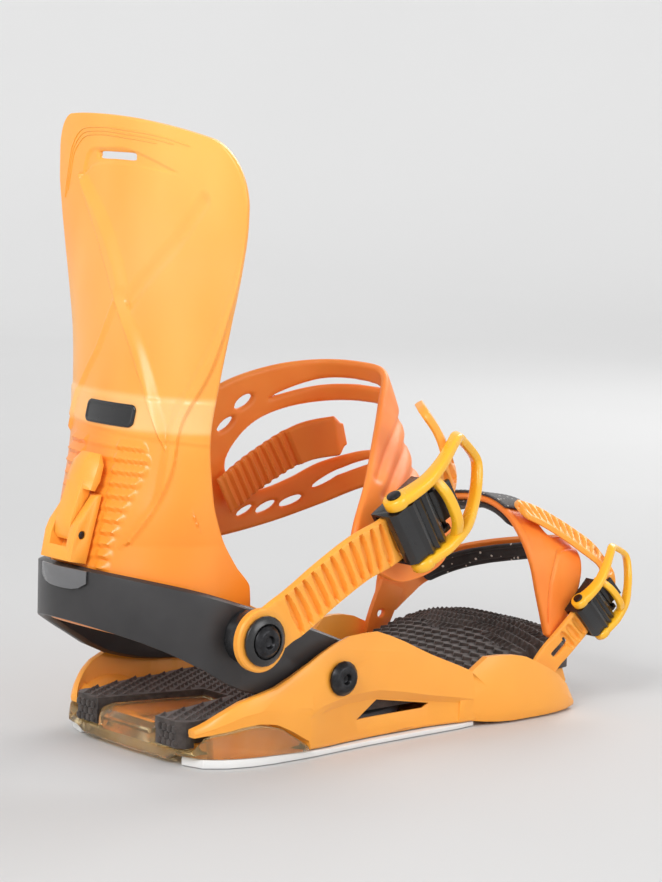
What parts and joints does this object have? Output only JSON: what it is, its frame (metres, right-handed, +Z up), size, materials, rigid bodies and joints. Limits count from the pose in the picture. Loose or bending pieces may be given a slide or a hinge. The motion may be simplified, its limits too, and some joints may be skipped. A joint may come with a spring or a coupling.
{
  "type": "strap-in snowboard binding",
  "caption": "Right-foot strap-in snowboard binding with a tall highback, heel hoop, padded ankle strap, open toe strap and ratchet buckles.",
  "frame": {"origin": "centre of the mounting disc, on the plane where the binding meets the board", "axes": "+X towards the toe, +Y towards the inner side of the right foot, +Z up from the board"},
  "size_m": [0.3169, 0.1593, 0.2895],
  "materials": {
    "base_orange": "satin moulded polymer",
    "highback_orange": "satin to gloss moulded polymer, paler towards the top",
    "strap_orange": "soft moulded strap polymer",
    "ladder_orange": "satin moulded polymer",
    "lever_gold": "golden anodised cast aluminium",
    "black_plastic": "gloss black",
    "charcoal_hoop": "satin charcoal coating",
    "badge_grey": "gloss grey plate",
    "black_steel": "black oxide steel",
    "white_gasket": "white soft rubber",
    "amber_clear": "clear amber urethane",
    "footbed_eva": "textured dark foam rubber",
    "liner_eva": "matte black foam",
    "disc_grey": "dark grey moulded polymer"
  },
  "bodies": {
    "base": {"base_frame": "base_orange", "base_gasket": "white_gasket", "mounting_disc": "disc_grey", "disc_screw_1": "black_steel", "disc_screw_2": "black_steel", "disc_screw_3": "black_steel", "disc_screw_4": "black_steel", "heel_air_cushion": "amber_clear", "heel_pad": "footbed_eva", "toe_ramp": "base_orange", "toe_footbed": "footbed_eva", "heel_hoop": "charcoal_hoop", "hoop_badge": "badge_grey", "hoop_screw_near": "black_steel", "hoop_screw_far": "black_steel", "hoop_nut_near": "black_steel", "hoop_nut_far": "black_steel", "ankle_spacer_near": "black_plastic", "ankle_spacer_far": "black_plastic", "ankle_washer_near": "black_plastic", "ankle_washer_far": "black_plastic", "ankle_bolt_near": "black_steel", "ankle_bolt_far": "black_steel", "ankle_nut_near": "black_steel", "ankle_nut_far": "black_steel", "toe_anchor_pin_near": "black_steel", "toe_anchor_pin_far": "black_steel"},
    "highback": {"highback_shell": "highback_orange", "highback_badge": "black_plastic", "highback_liner": "liner_eva"},
    "lean_block": {"lean_block": "ladder_orange", "lean_pin": "black_steel"},
    "lean_lever": {"lean_lever": "ladder_orange"},
    "ankle_strap": {"ankle_ladder": "ladder_orange", "ankle_pad": "strap_orange", "ankle_far_link": "ladder_orange", "ankle_adjuster": "strap_orange", "ankle_buckle_body": "black_plastic", "ankle_lever_pin": "black_steel", "ankle_trigger_pin": "black_steel"},
    "ankle_lever": {"ankle_lever": "lever_gold"},
    "ankle_trigger": {"ankle_trigger": "black_plastic"},
    "toe_strap": {"toe_cap_frame": "strap_orange", "toe_band_sleeve": "liner_eva", "toe_upper_liner": "liner_eva", "toe_lower_liner": "liner_eva", "toe_ladder": "ladder_orange", "toe_far_link": "strap_orange", "toe_buckle_body": "black_plastic", "toe_lever_pin": "black_steel", "toe_trigger_pin": "black_steel"},
    "toe_lever": {"toe_lever": "lever_gold"},
    "toe_trigger": {"toe_trigger": "black_plastic"}
  },
  "joints": [
    {"name": "highback_hinge", "type": "hinge", "parent": "base", "child": "highback", "pos_m": [-0.08, 0, 0.0593], "axis": [0, 1, 0], "range_deg": [0, 28]},
    {"name": "lean_adjust", "type": "slide", "parent": "highback", "child": "lean_block", "axis": [0.2629, 0, 0.9648], "range_m": [0, 0.022]},
    {"name": "lean_lever_hinge", "type": "hinge", "parent": "lean_block", "child": "lean_lever", "pos_m": [-0.13886, 0, 0.10385], "axis": [0, -1, 0], "range_deg": [0, 95]},
    {"name": "ankle_strap_hinge", "type": "hinge", "parent": "base", "child": "ankle_strap", "pos_m": [-0.08, 0, 0.0593], "axis": [0, 1, 0], "range_deg": [-10, 6]},
    {"name": "ankle_lever_hinge", "type": "hinge", "parent": "ankle_strap", "child": "ankle_lever", "pos_m": [-0.00191, -0.07719, 0.10317], "axis": [0.5291, 0, -0.8486], "range_deg": [0, 75]},
    {"name": "ankle_trigger_hinge", "type": "hinge", "parent": "ankle_strap", "child": "ankle_trigger", "pos_m": [0.01563, -0.07577, 0.1141], "axis": [-0.5291, 0, 0.8486], "range_deg": [0, 14], "stiffness_Nm_per_rad": 0.06},
    {"name": "toe_strap_hinge", "type": "hinge", "parent": "base", "child": "toe_strap", "pos_m": [0.106, 0, 0.015], "axis": [0, 1, 0], "range_deg": [-8, 10]},
    {"name": "toe_lever_hinge", "type": "hinge", "parent": "toe_strap", "child": "toe_lever", "pos_m": [0.13485, -0.06702, 0.04755], "axis": [0.6996, 0, -0.7146], "range_deg": [0, 75]},
    {"name": "toe_trigger_hinge", "type": "hinge", "parent": "toe_strap", "child": "toe_trigger", "pos_m": [0.1452, -0.06632, 0.05769], "axis": [-0.6996, 0, 0.7146], "range_deg": [0, 14], "stiffness_Nm_per_rad": 0.03}
  ]
}
